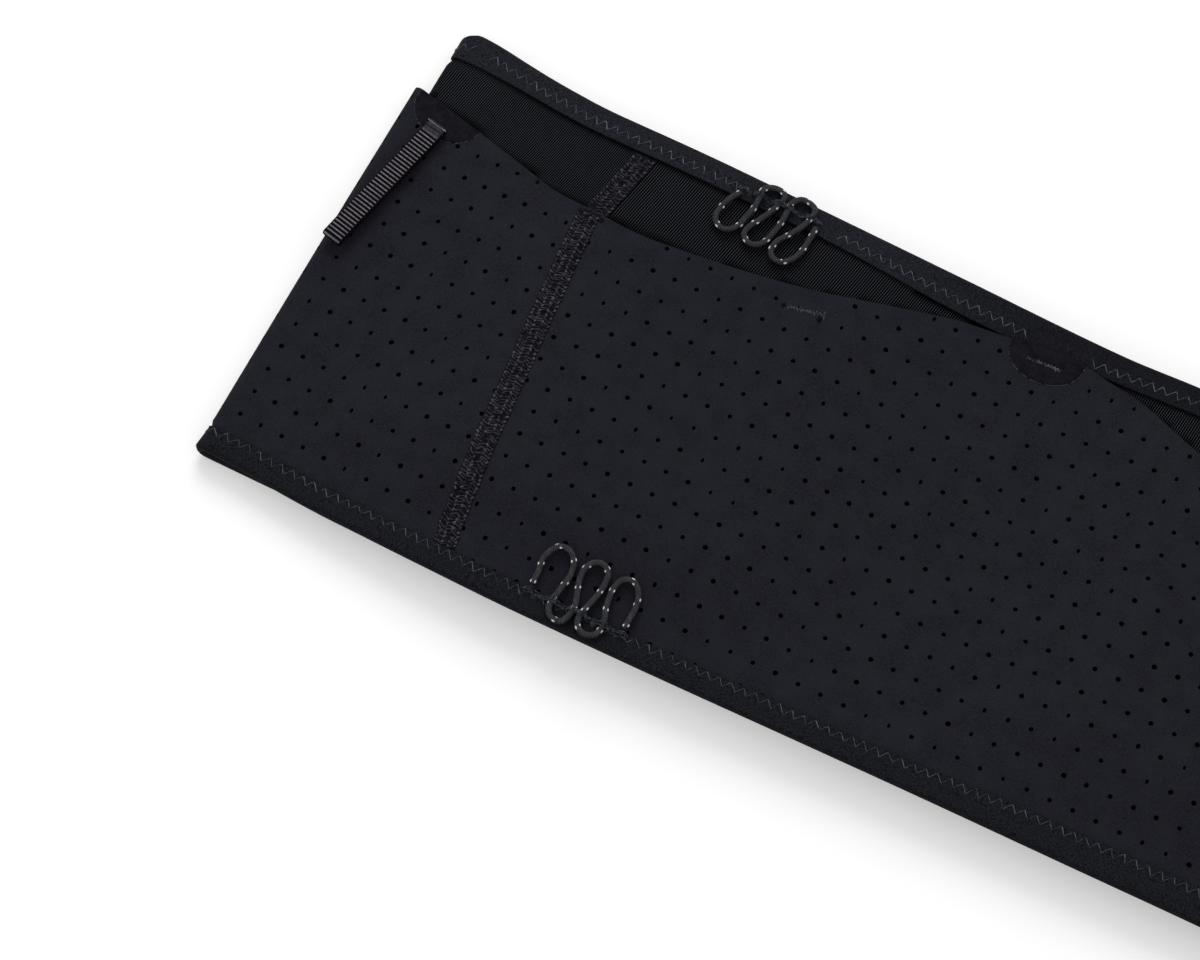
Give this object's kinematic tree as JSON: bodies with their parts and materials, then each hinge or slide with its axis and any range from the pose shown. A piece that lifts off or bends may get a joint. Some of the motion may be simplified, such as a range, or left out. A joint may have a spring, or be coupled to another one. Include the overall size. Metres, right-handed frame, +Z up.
{
  "type": "money belt",
  "caption": "Pull-on stretch waist belt with slit pockets under a scalloped rim, a ribbed mesh lining, elastic cord loops and a webbing pull tab.",
  "frame": {"origin": "centre of the belt's footprint on the surface it lies on", "axes": "+X along the belt towards its right fold, +Y across it towards the top edge, +Z up through the front half"},
  "size_m": [0.4139, 0.1415, 0.0153],
  "materials": {
    "perforated_fabric": "matte perforated stretch knit",
    "ribbed_mesh": "matte fine ribbed mesh",
    "fold_over_elastic": "brushed fold-over elastic",
    "seam_thread": "dark grey sewing thread",
    "bonded_patch": "smooth bonded tape",
    "ribbed_webbing": "ribbed woven webbing",
    "elastic_cord": "braided elastic cord with light flecks"
  },
  "bodies": {
    "belt": {"front_panel": "perforated_fabric", "left_side_panel": "perforated_fabric", "right_side_panel": "perforated_fabric", "rear_panel": "perforated_fabric", "front_lining": "ribbed_mesh", "left_side_lining": "ribbed_mesh", "right_side_lining": "ribbed_mesh", "rear_lining": "ribbed_mesh", "top_binding": "fold_over_elastic", "bottom_binding": "fold_over_elastic", "left_front_flatlock": "seam_thread", "left_front_lining_flatlock": "seam_thread", "left_rear_flatlock": "seam_thread", "right_front_flatlock": "seam_thread", "right_front_lining_flatlock": "seam_thread", "right_rear_flatlock": "seam_thread", "left_corner_patch": "bonded_patch", "divider_patch": "bonded_patch", "right_corner_patch": "bonded_patch", "divider_bartack": "seam_thread", "right_corner_bartack": "seam_thread", "rim_bartack": "seam_thread", "pull_loop_root": "ribbed_webbing", "pull_loop_bartack": "seam_thread", "left_top_cord_bend_1": "elastic_cord", "left_top_cord_bend_2": "elastic_cord", "left_top_cord_stitching": "seam_thread", "left_bottom_cord_bend_1": "elastic_cord", "left_bottom_cord_bend_2": "elastic_cord", "left_bottom_cord_stitching": "seam_thread", "right_top_cord_bend_1": "elastic_cord", "right_top_cord_bend_2": "elastic_cord", "right_top_cord_stitching": "seam_thread", "right_bottom_cord_bend_1": "elastic_cord", "right_bottom_cord_bend_2": "elastic_cord", "right_bottom_cord_stitching": "seam_thread"},
    "pull_tab": {"pull_loop": "ribbed_webbing"},
    "left_top_loops": {"left_top_cord_loop_1": "elastic_cord", "left_top_cord_loop_2": "elastic_cord", "left_top_cord_loop_3": "elastic_cord"},
    "left_bottom_loops": {"left_bottom_cord_loop_1": "elastic_cord", "left_bottom_cord_loop_2": "elastic_cord", "left_bottom_cord_loop_3": "elastic_cord"},
    "right_top_loops": {"right_top_cord_loop_1": "elastic_cord", "right_top_cord_loop_2": "elastic_cord", "right_top_cord_loop_3": "elastic_cord"},
    "right_bottom_loops": {"right_bottom_cord_loop_1": "elastic_cord", "right_bottom_cord_loop_2": "elastic_cord", "right_bottom_cord_loop_3": "elastic_cord"}
  },
  "joints": [
    {"name": "pull_tab_lift", "type": "hinge", "parent": "belt", "child": "pull_tab", "pos_m": [-0.19394, 0.03802, 0.00921], "axis": [-0.9774, 0.2113, 0], "range_deg": [0, 130]},
    {"name": "left_top_loops_lift", "type": "hinge", "parent": "belt", "child": "left_top_loops", "pos_m": [-0.10049, 0.05971, 0.0122], "axis": [-1, 0, 0], "range_deg": [0, 75]},
    {"name": "left_bottom_loops_lift", "type": "hinge", "parent": "belt", "child": "left_bottom_loops", "pos_m": [-0.09699, -0.065, 0.0131], "axis": [1, 0, 0], "range_deg": [0, 75]},
    {"name": "right_top_loops_lift", "type": "hinge", "parent": "belt", "child": "right_top_loops", "pos_m": [0.10049, 0.06072, 0.0122], "axis": [-1, 0, 0], "range_deg": [0, 75]},
    {"name": "right_bottom_loops_lift", "type": "hinge", "parent": "belt", "child": "right_bottom_loops", "pos_m": [0.09699, -0.06129, 0.0131], "axis": [1, 0, 0], "range_deg": [0, 75]}
  ]
}
